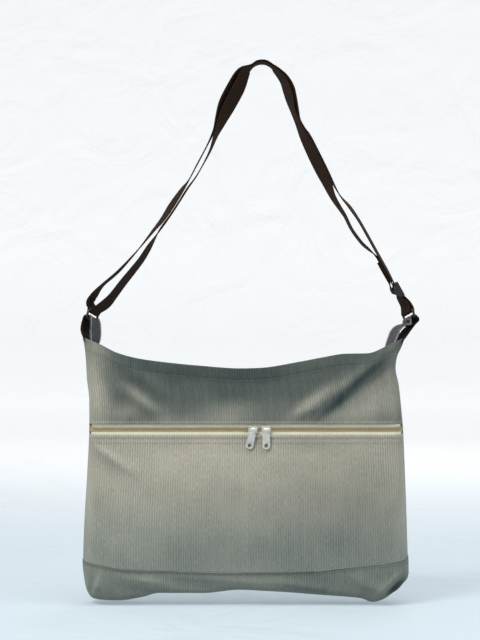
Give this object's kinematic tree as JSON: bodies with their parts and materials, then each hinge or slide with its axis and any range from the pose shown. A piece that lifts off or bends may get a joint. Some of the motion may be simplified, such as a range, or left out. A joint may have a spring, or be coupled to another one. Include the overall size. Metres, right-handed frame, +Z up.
{
  "type": "messenger bag",
  "caption": "Soft corduroy shoulder bag with an open concave mouth, a full-width front zip pocket and an adjustable webbing strap.",
  "frame": {"origin": "hang point: underside of the strap at the top of its arch, where a hook carries it", "axes": "+X to the right across the front, -Y out of the front, +Z up"},
  "size_m": [0.4116, 0.0733, 0.6558],
  "materials": {
    "corduroy": "matte",
    "lining_cloth": "matte",
    "zip_tape": "matte",
    "zip_coil": "satin",
    "webbing": "matte",
    "nickel": "satin",
    "black_metal": "satin",
    "black_plastic": "satin"
  },
  "bodies": {
    "strap": {"strap_outer_ply": "webbing", "strap_inner_ply": "webbing", "strap_return_ply": "webbing", "strap_flex_left": "webbing", "strap_flex_right": "webbing"},
    "adjuster": {"adjuster": "black_plastic", "strap_end_loop": "webbing"},
    "bag": {"front_upper_panel": "corduroy", "front_pocket_panel": "corduroy", "back_panel": "corduroy", "base_panel": "corduroy", "gusset_left": "corduroy", "gusset_right": "corduroy", "mouth_facing": "corduroy", "lining": "lining_cloth", "pocket_lining": "lining_cloth", "zip_tape_upper": "zip_tape", "zip_tape_lower": "zip_tape", "zip_coil_upper": "zip_coil", "zip_coil_lower": "zip_coil", "tab_left": "webbing", "tab_right": "webbing", "strap_turn_left": "webbing", "strap_fixed_end": "webbing"},
    "ring_left": {"ring_left": "black_metal"},
    "ring_right": {"ring_right": "black_metal"},
    "slider_left": {"slider_left": "nickel"},
    "slider_right": {"slider_right": "nickel"},
    "pull_left": {"pull_left": "nickel"},
    "pull_right": {"pull_right": "nickel"}
  },
  "joints": [
    {"name": "bag_swing", "type": "hinge", "parent": "strap", "child": "bag", "pos_m": [-0.014, 0, -0.306], "axis": [1, 0, 0], "range_deg": [-90, 90], "deforming": ["strap_flex_left", "strap_flex_right"]},
    {"name": "ring_left_pivot", "type": "hinge", "parent": "bag", "child": "ring_left", "pos_m": [-0.207, 0, -0.305], "axis": [0.3294, 0.9183, -0.2196], "range_deg": [-8, 8]},
    {"name": "ring_right_pivot", "type": "hinge", "parent": "bag", "child": "ring_right", "pos_m": [0.179, 0, -0.305], "axis": [-0.3294, 0.9183, -0.2196], "range_deg": [-8, 8]},
    {"name": "adjuster_slide", "type": "slide", "parent": "strap", "child": "adjuster", "axis": [-0.4847, 0, 0.8747], "range_m": [0, 0.05], "deforming": ["strap_return_ply"]},
    {"name": "slider_left_slide", "type": "slide", "parent": "bag", "child": "slider_left", "axis": [-1, 0, 0], "range_m": [0, 0.17]},
    {"name": "slider_right_slide", "type": "slide", "parent": "bag", "child": "slider_right", "axis": [1, 0, 0], "range_m": [0, 0.142]},
    {"name": "pull_left_flip", "type": "hinge", "parent": "slider_left", "child": "pull_left", "pos_m": [-0.0113, -0.0347, -0.448], "axis": [-0.9781, 0, 0.2079], "range_deg": [0, 168]},
    {"name": "pull_right_flip", "type": "hinge", "parent": "slider_right", "child": "pull_right", "pos_m": [0.0049, -0.0347, -0.448], "axis": [-1, 0, 0], "range_deg": [0, 168]}
  ]
}
